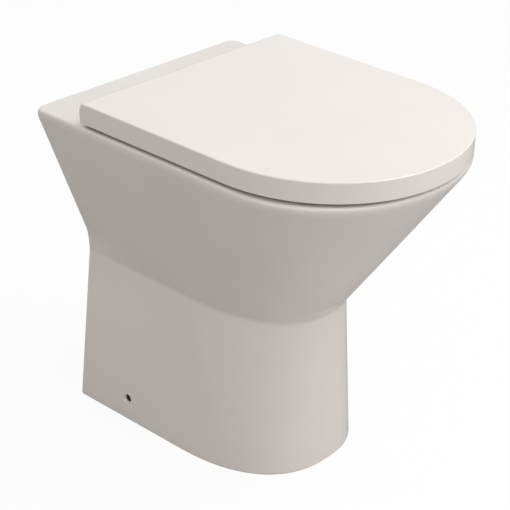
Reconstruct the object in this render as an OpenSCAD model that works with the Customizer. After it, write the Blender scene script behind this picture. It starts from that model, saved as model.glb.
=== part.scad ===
// Back to wall toilet: a floor-standing china pan with a wrap-over ring seat and lid.
// The wall stands at +Y, the front faces -Y and z = 0 is the floor.
// A value whose name ends in _d is a distance from the wall towards the front.

/* [Pan outline] */
// Width across the rim
rim_w = 360; // [356:1:364]
// Distance from the wall to the front of the rim
rim_d = 501; // [499:1:502]
// Where the rim's straight sides end and its round front begins
rim_straight_d = 345; // [335:1:350]
// Height of the deck and rim above the floor
deck_h = 450; // [448:1:452]
// Radius of the rim's outer edge
rim_edge_r = 8; // [6:1:9]
// Width of the waist, where the flare meets the pedestal
waist_w = 193; // [190:1:198]
// Distance from the wall to the front of the waist
waist_d = 346; // [344:1:352]
// Height of the waist above the floor
waist_h = 221; // [216:1:226]
// Width of the pedestal at the floor
foot_w = 239; // [236:1:244]
// Distance from the wall to the front of the pedestal at the floor
foot_d = 353; // [351:1:358]
// Where the pedestal's straight sides end at the waist and at the floor
pedestal_straight_d = 190; // [180:1:200]
// Thickness of the china in the pedestal and flare
china_t = 12; // [11:0.5:12.5]
// Thickness of the china in the deck and rim
deck_t = 18; // [16:1:20]

/* [Bowl and trap] */
// Half width of the bowl's mouth
mouth_half = 134; // [130:1:136]
// Distance from the wall to the back of the bowl's mouth
mouth_back_d = 148; // [146:1:150]
// Distance from the wall to the front of the bowl's mouth
mouth_front_d = 464; // [460:1:466]
// Thickness of the china in the bowl
bowl_t = 10; // [9:0.5:10.5]
// Height of the middle of the trap's entry above the floor
trap_h = 85; // [82:1:88]
// Radius of the trap's bore
trap_r = 30; // [28:1:31]
// Radius of the trap's bends
bend_r = 45; // [43:1:46]
// Angle that each bend of the trap turns through
bend_angle = 80; // [76:1:80]
// Length of the trap's rising stretch
riser_l = 39; // [37:1:40]

/* [Outlet and flush inlet] */
// Outer radius of the outlet spigot
spigot_r = 51; // [50:0.5:52]
// Inner radius of the outlet spigot
spigot_bore_r = 43.5; // [42:0.5:44]
// Height of the outlet spigot's middle above the floor
spigot_h = 180; // [178:1:182]
// Distance from the wall to the open end of the spigot
spigot_end_d = 70; // [65:1:75]
// Radius of the flush inlet's bore
inlet_r = 27.5; // [27:0.5:28]
// Height of the flush inlet's middle above the floor
inlet_h = 385; // [383:1:387]

/* [Seat and lid] */
// Width of the lid
lid_w = 356; // [352:1:358]
// Distance from the wall to the front of the lid, the depth of the whole toilet
lid_d = 505; // [504:1:506]
// Height of the lid's top above the deck
lid_top_h = 31; // [31:0.5:31.5]
// Gap between the deck and the lid's lower edge
lid_gap = 5.5; // [5.5:0.1:6]
// Thickness of the lid's side wall
lid_wall = 4.5; // [4:0.5:5]
// Radius of the edge between the lid's top and side
lid_edge_r = 2.5; // [2:0.5:3]
// Thickness of the ring seat
seat_t = 19.5; // [19:0.5:19.5]
// Height of the seat's buffers, which stand on the rim
seat_buffer_h = 5; // [5:0.5:5]
// Clearance between the seat and the inside of the lid's wall
seat_clear = 3; // [2.5:0.5:3.5]

/* [Hinges] */
// Distance between the two seat fixing holes
fixing_spacing = 155; // [150:1:160]
// Distance from the wall to the seat fixing holes
fixing_d = 108; // [107:1:109]
// Distance from the wall to the hinge axis
hinge_d = 91.5; // [91:0.5:92]
// Height of the hinge axis above the deck
hinge_rise = 17.5; // [17.5:0.1:18]
// Radius of the hinge shafts
shaft_r = 3; // [2.5:0.5:3]
// Width of a hinge block
block_w = 40; // [38:1:42]

/* [Floor fixing] */
// Distance from the wall to the side-fixing holes
side_fix_d = 93; // [88:1:98]
// Height of the side-fixing holes above the floor
side_fix_h = 31; // [29:1:33]
// Radius of the hole through the pan's side
side_hole_r = 5.5; // [5:0.5:6]
// Distance between the brackets' floor holes
floor_hole_spacing = 156; // [150:1:160]

/* [Hidden] */
$fn = 48;

LEFT = -1;
RIGHT = 1;
over = 1; // how far a cutter runs past the surface it cuts

china = "#e9e4de";
thermoset = "#f1ece6";
moulded = "#d9d7d3";
chrome = "#c6c9cc";
steel = "#9fa3a6";
soft = "#c9c9c5";
dark_rubber = "#3a3a3a";

front_steps = 44;
corner_steps = 4;
egg_steps = 48;
pipe_steps = 24;
bend_steps = 5;

// Pan
rim_corner_r = 12;
foot_corner_r = 4;
foot_edge_r = 3;
rim_power = 2.05;
pedestal_power = 2.45;
rim_side_h = deck_h - rim_edge_r;
deck_low = deck_h - deck_t;
hollow_rim_inset = 15;

// Bowl: each stage is height, half width, back, middle and front distance from the wall
mouth_edge_r = 6;
bowl_power = 2.15;
bowl_stages = [
    [ 55,  16, 262, 278, 292],
    [ 66,  30, 256, 278, 300],
    [ 85,  38, 250, 278, 306],
    [115,  46, 243, 276, 312],
    [168,  60, 222, 272, 318],
    [221,  74, 200, 268, 322],
    [300, 104, 172, 276, 378],
    [380, 124, 156, 290, 432],
    [425, 131, 150, 300, 459],
];

// Trap
sump_d = 262;
throat_d = 276;
trap_t = 9;
weir_blend = 31;
spigot_overlap = 8;

// Flush inlet
inlet_t = 8;
inlet_end_d = 45;
inlet_socket = 50;
horn_joint_d = 112;
flush_way_r = 21;
inlet_web_w = 12;

// Lid and seat
lid_power = 2.05;
lid_straight_d = 325;
lid_corner_r = 12;
lid_low = deck_h + lid_gap;
lid_top = deck_h + lid_top_h;
hinge_h = deck_h + hinge_rise;
lid_back_r = lid_top - hinge_h;
lid_inner_r = 9.9;
lid_back_slope = 2;
lid_angles = [0:15:90];
notch_in = 45.3;
notch_out = 98.4;
notch_back = 6;
seat_low = deck_h + seat_buffer_h;
seat_top = seat_low + seat_t;
seat_back_d = 121.5;
seat_edge_r = 5;
seat_inset = lid_wall + seat_clear;
hole_half = 108;
hole_back_d = 186;
hole_middle_d = 300;
hole_front_d = 424;
hole_edge_r = 6;
seat_buffer_r = 7;
seat_buffer_places = [[155, 185], [138, 400]];
lid_buffer_r = 6;
lid_buffer_places = [[140, 215], [128, 405]];

// Hinges
block_mid = fixing_spacing / 2;
block_in = block_mid - block_w / 2;
block_out = block_mid + block_w / 2;
lug_gap = 0.3;
lug_w = 10;
lug_r = 8.5;
barrel_r = 9.4;
plate_r = 16;
plate_t = 2;
post_r = 6;
post_h = 12;
post_fit = 0.06;
shaft_fit = 0.05;
damper_r = 6.95;
damper_fit = 0.05;
damper_wall = 1.5;
block_low = deck_h + plate_t + 0.2;
block_back_d = hinge_d - 5.5;
block_front_d = 119;
block_top = deck_h + 20;
stud_r = 3;
stud_low = deck_h - 34;
sleeve_r = 6.9;
deck_hole_r = 7;
cone_h = 9;
button_w = 17.6;
button_t = 4.4;
button_mid_h = deck_h + 6;
button_fit = 0.2;
button_out_d = 83.8;
button_in_d = 96;
pocket_end_d = 101;
arm_w = 1.6;
arm_end_d = 112;
button_travel = 2;
spring_r = 1.8;
spring_wire_r = 0.3;
spring_turns = 5;
spring_steps = 12;

// Floor fixing
bracket_out = 101;
bracket_in = 64;
bracket_t = 5;
bracket_w = 34;
bracket_h = 46;
bracket_hole_r = 3.5;
boss_r = 8;
boss_in = 86;
screw_r = 3;
screw_head_r = 4.1;
screw_head_h = 4;
screw_end = 82;
socket_r = 2;
socket_depth = 2.5;
liner_in = 103.6;
liner_out = 113;
liner_seat = 106;
liner_bore_r = 4.4;

// ---- Shared geometry ----

// y of a point a distance d from the wall
function wall(d) = lid_d / 2 - d;

// Power of a number that keeps its sign
function signed_power(v, p) = sign(v) * pow(abs(v), p);

// Parameter of the power ellipse at which its outline faces a given way, 0 being sideways and 90 forwards
function facing(way, half, reach, power) =
    way >= 90 ? 90 : atan(pow(reach / half * tan(way), power / (2 * power - 2)));

// Level outline of a D: straight sides from the back, then a rounded front.
// Points of the same number face the same way on every such outline, so a loft between two has no twist.
function d_ring(z, half, back, straight, front, power, corner) = concat(
    [for (i = [0:front_steps])
        let (way = 180 * i / front_steps)
        let (side = way < 90 ? LEFT : RIGHT)
        let (t = facing(min(way, 180 - way), half, front - straight, power))
        [side * half * pow(cos(t), 2 / power), wall(straight) - (front - straight) * pow(sin(t), 2 / power), z]],
    [for (i = [0:corner_steps])
        let (t = 90 * i / corner_steps)
        [half - corner + corner * cos(t), wall(back) - corner + corner * sin(t), z]],
    [for (i = [0:corner_steps])
        let (t = 90 + 90 * i / corner_steps)
        [-half + corner + corner * cos(t), wall(back) - corner + corner * sin(t), z]]
);

// Level egg-shaped outline with a different reach to the back and to the front of its widest place
function egg_ring(z, half, back, middle, front, power = bowl_power) =
    [for (i = [0:egg_steps - 1])
        let (t = 360 * i / egg_steps)
        let (reach = sin(t) > 0 ? middle - back : front - middle)
        [half * signed_power(cos(t), 2 / power), wall(middle) + reach * signed_power(sin(t), 2 / power), z]];

// Round ring about a point of the middle plane, facing along a direction that rises at an angle towards the wall
function pipe_ring(d, z, angle, r) =
    [for (i = [0:pipe_steps - 1])
        let (t = 360 * i / pipe_steps)
        [r * cos(t), wall(d) + r * sin(t) * sin(angle), z - r * sin(t) * cos(angle)]];

// Closed solid through a list of rings with equal numbers of points
module loft(rings) {
    count = len(rings[0]);
    last = len(rings) - 1;
    points = [for (ring = rings) each ring];
    sides = [
        for (r = [0:last - 1], i = [0:count - 1])
            let (a = r * count + i, b = r * count + (i + 1) % count)
            each [[a, a + count, b + count], [a, b + count, b]]
    ];
    low_cap = [for (i = [0:count - 1]) i];
    high_cap = [for (i = [count - 1:-1:0]) last * count + i];
    polyhedron(points, concat(sides, [low_cap, high_cap]), convexity = 8);
}

// Cylinder along Y from one distance from the wall to a nearer one
module along_y(x, z, far_d, near_d, r) {
    translate([x, wall(far_d), z])
        rotate([-90, 0, 0])
            cylinder(r = r, h = far_d - near_d);
}

// Cylinder along X between two places
module along_x(d, z, x0, x1, r) {
    translate([x0, wall(d), z])
        rotate([0, 90, 0])
            cylinder(r = r, h = x1 - x0);
}

// Box given by its limits, the second pair being distances from the wall
module block_between(x, d, z) {
    translate([x[0], wall(d[1]), z[0]])
        cube([x[1] - x[0], d[1] - d[0], z[1] - z[0]]);
}

// What is drawn for the right side, on either side
module on_side(side) {
    if (side == LEFT)
        mirror([1, 0, 0])
            children();
    else
        children();
}

// ---- Pan ----

// Outline of the flare at a height, which runs straight from the waist to the rim
function flare_share(z) = (z - waist_h) / (rim_side_h - waist_h);
function mix(a, b, share) = a + (b - a) * share;

function flare_ring(z, inset = 0, back = 0) =
    let (share = flare_share(z))
    d_ring(z,
        mix(waist_w, rim_w, share) / 2 - inset,
        back,
        mix(pedestal_straight_d, rim_straight_d, share),
        mix(waist_d, rim_d, share) - inset,
        mix(pedestal_power, rim_power, share),
        mix(foot_corner_r, rim_corner_r, share));

function pedestal_ring(z, inset = 0, back = 0) =
    let (share = z / waist_h)
    d_ring(z,
        mix(foot_w, waist_w, share) / 2 - inset,
        back,
        pedestal_straight_d,
        mix(foot_d, waist_d, share) - inset,
        pedestal_power,
        foot_corner_r);

function rim_edge_ring(angle) =
    let (inset = rim_edge_r * (1 - cos(angle)))
    d_ring(rim_side_h + rim_edge_r * sin(angle),
        rim_w / 2 - inset,
        inset / 2,
        rim_straight_d,
        rim_d - inset,
        rim_power,
        rim_corner_r);

module pan_outside() {
    loft(concat(
        [pedestal_ring(0, foot_edge_r), pedestal_ring(foot_edge_r)],
        [flare_ring(waist_h)],
        [for (angle = [0:22.5:90]) rim_edge_ring(angle)]
    ));
}

// The space inside the casting, open to the floor and to the wall
module pan_hollow() {
    open_back = -3 * over;
    loft([
        pedestal_ring(-over, china_t, open_back),
        pedestal_ring(waist_h, china_t, open_back),
        flare_ring(deck_low, hollow_rim_inset, open_back),
    ]);
}

// The bowl grown outwards by a thickness, up to its mouth
module bowl(grow) {
    stages = [
        for (s = bowl_stages)
            egg_ring(s[0], s[1] + grow, s[2] - grow, s[3], s[4] + grow)
    ];
    low = bowl_stages[0];
    loft(concat(
        grow > 0 ? [egg_ring(low[0] - grow, low[1] + grow / 2, low[2] - grow / 2, low[3], low[4] + grow / 2)] : [],
        stages,
        grow > 0 ? [] : mouth_rings()
    ));
}

function mouth_rings() = concat(
    [for (angle = [0:30:90])
        let (grow = mouth_edge_r * (1 - cos(angle)))
        egg_ring(deck_h - mouth_edge_r * (1 - sin(angle)),
            mouth_half + grow, mouth_back_d - grow, hole_middle_d, mouth_front_d + grow)],
    [egg_ring(deck_h + over,
        mouth_half + mouth_edge_r, mouth_back_d - mouth_edge_r, hole_middle_d, mouth_front_d + mouth_edge_r)]
);

// The trap: out of the sump, up and over the weir, then down to the outlet spigot
module trap(grow, start_d) {
    r = trap_r + grow;
    rise_d = sump_d - bend_r * sin(bend_angle);
    rise_h = trap_h + bend_r * (1 - cos(bend_angle));
    weir_d = rise_d - riser_l * cos(bend_angle) - bend_r * sin(bend_angle);
    weir_h = rise_h + riser_l * sin(bend_angle) + bend_r * (1 - cos(bend_angle));
    blend_r = (grow > 0 ? spigot_r : spigot_bore_r);
    loft(concat(
        [pipe_ring(start_d, trap_h, 0, r)],
        [for (i = [0:bend_steps])
            let (a = bend_angle * i / bend_steps)
            pipe_ring(sump_d - bend_r * sin(a), trap_h + bend_r * (1 - cos(a)), a, r)],
        [for (i = [bend_steps:-1:0])
            let (a = bend_angle * i / bend_steps)
            pipe_ring(weir_d + bend_r * sin(a), weir_h - bend_r * (1 - cos(a)), a, r)],
        [pipe_ring(weir_d - weir_blend, spigot_h, 0, blend_r - 0.5)],
        [pipe_ring(weir_d - weir_blend - spigot_overlap, spigot_h, 0, blend_r - 0.5)]
    ));
}

function spigot_start_d() =
    sump_d - 2 * bend_r * sin(bend_angle) - riser_l * cos(bend_angle) - weir_blend;

// Round boss for the flush way with the web that carries it, between two distances from the wall
module flush_boss(far_d, near_d, web_top) {
    along_y(0, inlet_h, far_d, near_d, inlet_r + inlet_t);
    block_between([-inlet_web_w / 2, inlet_web_w / 2], [near_d, far_d], [inlet_h, web_top]);
}

module pan() {
    color(china)
        difference() {
            union() {
                difference() {
                    pan_outside();
                    pan_hollow();
                }
                bowl(bowl_t);
                trap(trap_t, sump_d + over);
                along_y(0, spigot_h, spigot_start_d(), spigot_end_d, spigot_r);
                flush_boss(mouth_back_d + bowl_t, horn_joint_d, deck_low + over);
            }
            bowl(0);
            trap(0, throat_d);
            along_y(0, spigot_h, spigot_start_d(), spigot_end_d - over, spigot_bore_r);
            along_y(0, inlet_h, mouth_back_d + 2 * bowl_t, horn_joint_d - over, flush_way_r);
            for (side = [LEFT, RIGHT]) {
                translate([side * block_mid, wall(fixing_d), deck_low - over])
                    cylinder(r = deck_hole_r, h = deck_t + 2 * over);
                on_side(side)
                    along_x(side_fix_d, side_fix_h, boss_in, foot_w / 2 + over, side_hole_r);
            }
        }
}

// The horn that takes the flush pipe: cast apart, and stuck to the pan before both are glazed and fired
module flush_horn() {
    color(china)
        difference() {
            flush_boss(horn_joint_d, inlet_end_d, deck_low);
            along_y(0, inlet_h, inlet_end_d + inlet_socket, inlet_end_d - over, inlet_r);
            along_y(0, inlet_h, horn_joint_d + over, inlet_end_d, flush_way_r);
        }
}

// ---- Seat ----

function seat_ring(z, inset) =
    d_ring(z,
        lid_w / 2 - seat_inset - inset,
        seat_back_d + inset,
        lid_straight_d,
        lid_d - seat_inset - inset,
        lid_power,
        lid_corner_r);

function seat_hole_ring(z, grow) =
    egg_ring(z, hole_half + grow, hole_back_d - grow, hole_middle_d, hole_front_d + grow);

// Eye of a hinge lug between two places, with its running or tight bore left to the caller
module lug_eye(x0, x1) {
    along_x(hinge_d, hinge_h, x0, x1, lug_r);
}

module seat_body() {
    edge_angles = [0:30:90];
    difference() {
        loft(concat(
            [seat_ring(seat_low, 1), seat_ring(seat_low + 1, 0)],
            [for (angle = edge_angles)
                seat_ring(seat_top - seat_edge_r * (1 - sin(angle)), seat_edge_r * (1 - cos(angle)))]
        ));
        loft(concat(
            [seat_hole_ring(seat_low - over, 2), seat_hole_ring(seat_low + 2, 0)],
            [for (angle = edge_angles)
                seat_hole_ring(seat_top - hole_edge_r * (1 - sin(angle)), hole_edge_r * (1 - cos(angle)))],
            [seat_hole_ring(seat_top + over, hole_edge_r)]
        ));
    }
}

module seat() {
    lug_low = hinge_h - lug_r;
    color(thermoset)
        difference() {
            union() {
                seat_body();
                for (side = [LEFT, RIGHT])
                    on_side(side) {
                        lug_eye(block_in - lug_gap - lug_w, block_in - lug_gap);
                        block_between([block_in - lug_gap - lug_w, block_in - lug_gap],
                            [hinge_d, seat_back_d + 2 * seat_edge_r], [lug_low, seat_top - seat_edge_r + 1]);
                    }
            }
            along_x(hinge_d, hinge_h, -block_mid, 0, shaft_r + shaft_fit);
            along_x(hinge_d, hinge_h, 0, block_mid, shaft_r);
        }
}

module seat_buffers() {
    color(soft)
        for (side = [LEFT, RIGHT], place = seat_buffer_places)
            translate([side * place[0], wall(place[1]), deck_h])
                cylinder(r = seat_buffer_r, h = seat_buffer_h);
}

// ---- Lid ----

function lid_outline(z, inset, back) =
    d_ring(z, lid_w / 2 - inset, back, lid_straight_d, lid_d - inset, lid_power, lid_corner_r);

// How far the edge between top and side has drawn in at a height
function lid_edge_inset(z) =
    let (rise = z - (lid_top - lid_edge_r))
    rise <= 0 ? 0 : lid_edge_r - sqrt(max(0, lid_edge_r * lid_edge_r - rise * rise));

module lid_outside() {
    loft(concat(
        [lid_outline(lid_low, 1, hinge_d - lid_back_r + lid_back_slope)],
        [lid_outline(lid_low + 1, 0, hinge_d - lid_back_r + lid_back_slope)],
        [for (angle = lid_angles)
            let (z = hinge_h + lid_back_r * sin(angle))
            lid_outline(z, lid_edge_inset(z), hinge_d - lid_back_r * cos(angle))]
    ));
}

module lid_inside() {
    loft(concat(
        [lid_outline(lid_low - over, lid_wall, hinge_d - lid_inner_r + lid_back_slope)],
        [for (angle = lid_angles)
            lid_outline(hinge_h + lid_inner_r * sin(angle), lid_wall, hinge_d - lid_inner_r * cos(angle))]
    ));
}

module lid() {
    lid_under = hinge_h + lid_inner_r;
    color(thermoset)
        difference() {
            union() {
                difference() {
                    lid_outside();
                    lid_inside();
                    for (side = [LEFT, RIGHT])
                        on_side(side)
                            block_between([notch_in, notch_out],
                                [0, hinge_d - notch_back], [lid_low - over, lid_top + over]);
                }
                for (side = [LEFT, RIGHT])
                    on_side(side) {
                        lug_eye(block_out + lug_gap, block_out + lug_gap + lug_w);
                        block_between([block_out + lug_gap, block_out + lug_gap + lug_w],
                            [hinge_d - lug_r, hinge_d + lug_r], [hinge_h, lid_under + over]);
                    }
            }
            along_x(hinge_d, hinge_h, -lid_w / 4 - 3 * lug_w, 0, shaft_r);
            along_x(hinge_d, hinge_h, 0, lid_w / 4 + 3 * lug_w, shaft_r + shaft_fit);
        }
}

module lid_buffers() {
    lid_under = hinge_h + lid_inner_r;
    color(soft)
        for (side = [LEFT, RIGHT], place = lid_buffer_places)
            translate([side * place[0], wall(place[1]), seat_top])
                cylinder(r = lid_buffer_r, h = lid_under - seat_top);
}

// ---- Hinges ----

module hinge_plate(side) {
    color(chrome)
        translate([side * block_mid, wall(fixing_d), deck_h])
            difference() {
                cylinder(r = plate_r, h = plate_t);
                translate([0, 0, -over])
                    cylinder(r = stud_r, h = plate_t + 2 * over);
            }
}

module hinge_post(side) {
    stud_hole = 8;
    tip = 1;
    color(chrome)
        translate([side * block_mid, wall(fixing_d), deck_h + plate_t])
            difference() {
                union() {
                    cylinder(r = post_r, h = post_h - tip);
                    translate([0, 0, post_h - tip])
                        cylinder(r1 = post_r, r2 = post_r - tip, h = tip);
                }
                translate([0, 0, -over])
                    cylinder(r = stud_r, h = stud_hole + over);
            }
}

module hinge_stud(side) {
    color(steel)
        translate([side * block_mid, wall(fixing_d), stud_low])
            cylinder(r = stud_r, h = deck_h + plate_t + 7 - stud_low);
}

module expanding_sleeve(side) {
    sleeve_low = stud_low + cone_h + 2;
    color(dark_rubber)
        translate([side * block_mid, wall(fixing_d), sleeve_low])
            difference() {
                cylinder(r = sleeve_r, h = deck_h - sleeve_low);
                translate([0, 0, -over])
                    cylinder(r = stud_r, h = deck_h - sleeve_low + 2 * over);
            }
}

module cone_nut(side) {
    color("#b79a5b")
        translate([side * block_mid, wall(fixing_d), stud_low + 2])
            difference() {
                cylinder(r1 = sleeve_r, r2 = stud_r + 1.5, h = cone_h);
                translate([0, 0, -over])
                    cylinder(r = stud_r, h = cone_h + 2 * over);
            }
}

// Side view of a hinge block, drawn with y to the wall and z up from the hinge axis
module block_profile() {
    shoulder = 5;
    circle(r = barrel_r);
    polygon([
        [hinge_d - block_back_d, block_low - hinge_h],
        [hinge_d - block_back_d, 0],
        [0, 0],
        [0, barrel_r - 0.2],
        [-shoulder, barrel_r - 1.6],
        [hinge_d - block_front_d + shoulder, block_top - hinge_h],
        [hinge_d - block_front_d, block_top - hinge_h - shoulder],
        [hinge_d - block_front_d, block_low - hinge_h],
    ]);
}

module hinge_block(side) {
    pocket_w = button_w + 2 * button_fit;
    pocket_z = [button_mid_h - button_t / 2 - button_fit, button_mid_h + button_t / 2 + button_fit];
    arm_gap = arm_w + button_fit;
    color(moulded)
        on_side(side)
            difference() {
                translate([block_in, wall(hinge_d), hinge_h])
                    rotate([90, 0, 90])
                        linear_extrude(block_w)
                            block_profile();
                along_x(hinge_d, hinge_h, block_in - over, block_out + over, shaft_r + 0.3);
                along_x(hinge_d, hinge_h, block_in + damper_wall, block_out + over, damper_r + damper_fit);
                translate([block_mid, wall(fixing_d), block_low - over])
                    cylinder(r = post_r + post_fit, h = post_h + 2 * over);
                block_between([block_mid - pocket_w / 2, block_mid + pocket_w / 2],
                    [block_back_d - over, pocket_end_d], pocket_z);
                for (edge = [-1, 1])
                    translate([edge * (pocket_w - arm_gap) / 2, 0, 0])
                        block_between([block_mid - arm_gap / 2, block_mid + arm_gap / 2],
                            [pocket_end_d - over, arm_end_d + button_travel + 0.5], pocket_z);
            }
}

// A damper cartridge, which sits in a block's barrel and turns against the shaft through it
module damper(side) {
    color("#8f9496")
        on_side(side)
            difference() {
                along_x(hinge_d, hinge_h, block_in + damper_wall + 0.1, block_out, damper_r);
                along_x(hinge_d, hinge_h, block_in, block_out + over, shaft_r + shaft_fit);
            }
}

module lid_damper() {
    damper(LEFT);
}

module seat_damper() {
    damper(RIGHT);
}

// A hinge shaft, through the seat's lug, the damper and the lid's lug
module hinge_shaft(side) {
    color(steel)
        on_side(side)
            along_x(hinge_d, hinge_h, block_in - lug_gap - lug_w, block_out + lug_gap + lug_w, shaft_r);
}

module lid_hinge_shaft() {
    hinge_shaft(LEFT);
}

module seat_hinge_shaft() {
    hinge_shaft(RIGHT);
}

module release_button(side) {
    z = [button_mid_h - button_t / 2, button_mid_h + button_t / 2];
    color(moulded)
        on_side(side) {
            block_between([block_mid - button_w / 2, block_mid + button_w / 2], [button_out_d, button_in_d], z);
            for (edge = [-1, 1])
                translate([edge * (button_w - arm_w) / 2, 0, 0])
                    block_between([block_mid - arm_w / 2, block_mid + arm_w / 2], [button_in_d, arm_end_d], z);
        }
}

// A helical spring between the button and the end of its pocket
module button_spring(side) {
    far = wall(pocket_end_d) + spring_wire_r;
    near = wall(button_in_d) - spring_wire_r;
    rings = [
        for (i = [0:spring_turns * spring_steps])
            let (a = 360 * i / spring_steps)
            let (y = mix(far, near, i / (spring_turns * spring_steps)))
            [for (k = [0:5])
                let (r = spring_r + spring_wire_r * cos(60 * k))
                [side * block_mid + r * cos(a), y + spring_wire_r * sin(60 * k), button_mid_h + r * sin(a)]]
    ];
    color(steel)
        loft(rings);
}

// ---- Floor fixing ----

module floor_bracket(side) {
    y_half = bracket_w / 2;
    rib_t = 4;
    color(moulded)
        on_side(side)
            difference() {
                union() {
                    block_between([bracket_in, bracket_out],
                        [side_fix_d - y_half, side_fix_d + y_half], [0, bracket_t]);
                    block_between([bracket_out - bracket_t, bracket_out],
                        [side_fix_d - y_half, side_fix_d + y_half], [0, bracket_h]);
                    along_x(side_fix_d, side_fix_h, boss_in, bracket_out, boss_r);
                    for (edge = [-1, 1])
                        translate([0, edge * (y_half - rib_t / 2), 0])
                            translate([0, wall(side_fix_d) + rib_t / 2, 0])
                                rotate([90, 0, 0])
                                    linear_extrude(rib_t)
                                        polygon([[bracket_in + bracket_t, 0], [bracket_out - 1, 0],
                                            [bracket_out - 1, bracket_h - bracket_t]]);
                }
                along_x(side_fix_d, side_fix_h, screw_end - over, bracket_out + over, screw_r);
                translate([floor_hole_spacing / 2, wall(side_fix_d), -over])
                    cylinder(r = bracket_hole_r, h = bracket_t + 2 * over);
            }
}

module side_screw(side) {
    color(steel)
        on_side(side)
            difference() {
                union() {
                    along_x(side_fix_d, side_fix_h, screw_end, liner_seat + over, screw_r);
                    along_x(side_fix_d, side_fix_h, liner_seat, liner_seat + screw_head_h, screw_head_r);
                }
                translate([liner_seat + screw_head_h - socket_depth, wall(side_fix_d), side_fix_h])
                    rotate([0, 90, 0])
                        cylinder(r = socket_r, h = socket_depth + over, $fn = 6);
            }
}

module screw_sleeve(side) {
    color(moulded)
        on_side(side)
            difference() {
                along_x(side_fix_d, side_fix_h, liner_in, liner_out, side_hole_r);
                along_x(side_fix_d, side_fix_h, liner_in - over, liner_out, screw_r + 0.2);
                along_x(side_fix_d, side_fix_h, liner_seat, liner_out + over, liner_bore_r);
            }
}

// ---- The object ----

pan();
flush_horn();
seat();
seat_buffers();
seat_hinge_shaft();
lid();
lid_buffers();
lid_hinge_shaft();
hinge_plate(LEFT);  // hinge_plate_left
hinge_plate(RIGHT);  // hinge_plate_right
hinge_post(LEFT);  // hinge_post_left
hinge_post(RIGHT);  // hinge_post_right
hinge_stud(LEFT);  // hinge_stud_left
hinge_stud(RIGHT);  // hinge_stud_right
expanding_sleeve(LEFT);  // expanding_sleeve_left
expanding_sleeve(RIGHT);  // expanding_sleeve_right
cone_nut(LEFT);  // cone_nut_left
cone_nut(RIGHT);  // cone_nut_right
hinge_block(LEFT);  // hinge_block_left
hinge_block(RIGHT);  // hinge_block_right
lid_damper();
seat_damper();
release_button(LEFT);  // release_button_left
release_button(RIGHT);  // release_button_right
button_spring(LEFT);  // button_spring_left
button_spring(RIGHT);  // button_spring_right
floor_bracket(LEFT);  // floor_bracket_left
floor_bracket(RIGHT);  // floor_bracket_right
side_screw(LEFT);  // side_screw_left
side_screw(RIGHT);  // side_screw_right
screw_sleeve(LEFT);  // screw_sleeve_left
screw_sleeve(RIGHT);  // screw_sleeve_right
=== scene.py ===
import math

import bmesh
import bpy
from mathutils import Matrix, Vector


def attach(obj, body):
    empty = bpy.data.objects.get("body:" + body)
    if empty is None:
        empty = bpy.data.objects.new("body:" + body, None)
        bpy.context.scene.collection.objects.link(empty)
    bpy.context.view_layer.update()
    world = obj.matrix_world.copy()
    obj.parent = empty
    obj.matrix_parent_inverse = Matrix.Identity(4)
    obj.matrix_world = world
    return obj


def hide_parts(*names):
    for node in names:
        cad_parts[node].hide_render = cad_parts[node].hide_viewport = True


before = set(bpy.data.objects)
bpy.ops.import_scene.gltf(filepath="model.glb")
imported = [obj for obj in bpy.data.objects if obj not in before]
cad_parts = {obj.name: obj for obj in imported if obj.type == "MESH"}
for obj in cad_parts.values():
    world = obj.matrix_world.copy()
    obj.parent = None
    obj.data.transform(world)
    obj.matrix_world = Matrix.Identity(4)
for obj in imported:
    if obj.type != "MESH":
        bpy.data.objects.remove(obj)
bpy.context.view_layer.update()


# ---- Camera ----
# The toilet is seen from its front left corner and a little above the lid, through a long lens.
# Sizes in this file are in millimetres until a piece is finished, and then in metres.
MM = 0.001
PHOTO_SIDE, FOCAL_LENGTH, SHIFT_RIGHT, SHIFT_UP = 510, 1635.325, -20.520, 47.873  # in pixels
VIEW_CENTRE, VIEW_DISTANCE = Vector((0, -2.5, 200)), 2136.634
azimuth, elevation, roll = math.radians(-48.4334), math.radians(29.3182), math.radians(1.7458)
away = Vector((
    math.sin(azimuth) * math.cos(elevation),
    -math.cos(azimuth) * math.cos(elevation),
    math.sin(elevation)))
right = Vector((math.cos(azimuth), math.sin(azimuth), 0))
up = away.cross(right)
right, up = (
    right * math.cos(roll) + up * math.sin(roll),
    up * math.cos(roll) - right * math.sin(roll))
camera_data = bpy.data.cameras.new("camera")
camera_data.sensor_width = 36
camera_data.lens = FOCAL_LENGTH / PHOTO_SIDE * camera_data.sensor_width
camera_data.shift_x = SHIFT_RIGHT / PHOTO_SIDE
camera_data.shift_y = SHIFT_UP / PHOTO_SIDE
camera_data.clip_end = 50
camera = bpy.data.objects.new("camera", camera_data)
bpy.context.scene.collection.objects.link(camera)
place = (VIEW_CENTRE + away * VIEW_DISTANCE) * MM
camera.matrix_world = Matrix.Translation(place) @ Matrix((right, up, away)).transposed().to_4x4()
bpy.context.scene.camera = camera


# ---- Pan ----
# One hollow casting of vitreous china, slip cast in a mould and fired with a clear glossy glaze.
# It flares above a narrower pedestal. Bowl, trap and spigot are inside, and the back is open.
# The glaze covers what shows. The foot and the inside of the casting stay dull and slightly gritty.
DEPTH = 505
FRONT_STEPS, CORNER_STEPS, EGG_STEPS, PIPE_STEPS = 120, 8, 128, 40
EGG_POWER = 2.15
SIDES = ((-1, "left"), (1, "right"))


def wall(distance):
    """y of a point a distance from the wall."""
    return DEPTH / 2 - distance


def mix(a, b, share):
    return a + (b - a) * share


def curved(start, corner, end, t):
    """Point on a smooth curve that leaves start towards a corner and turns to end."""
    return start * (1 - t) ** 2 + corner * 2 * t * (1 - t) + end * t ** 2


def quarter(r, steps):
    """Points of a quarter round: the first number grows from 0 to r, and the second falls to 0."""
    turns = [math.radians(90 * n / steps) for n in range(steps + 1)]
    return [(r * (1 - math.cos(t)), r * (1 - math.sin(t))) for t in turns]


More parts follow.
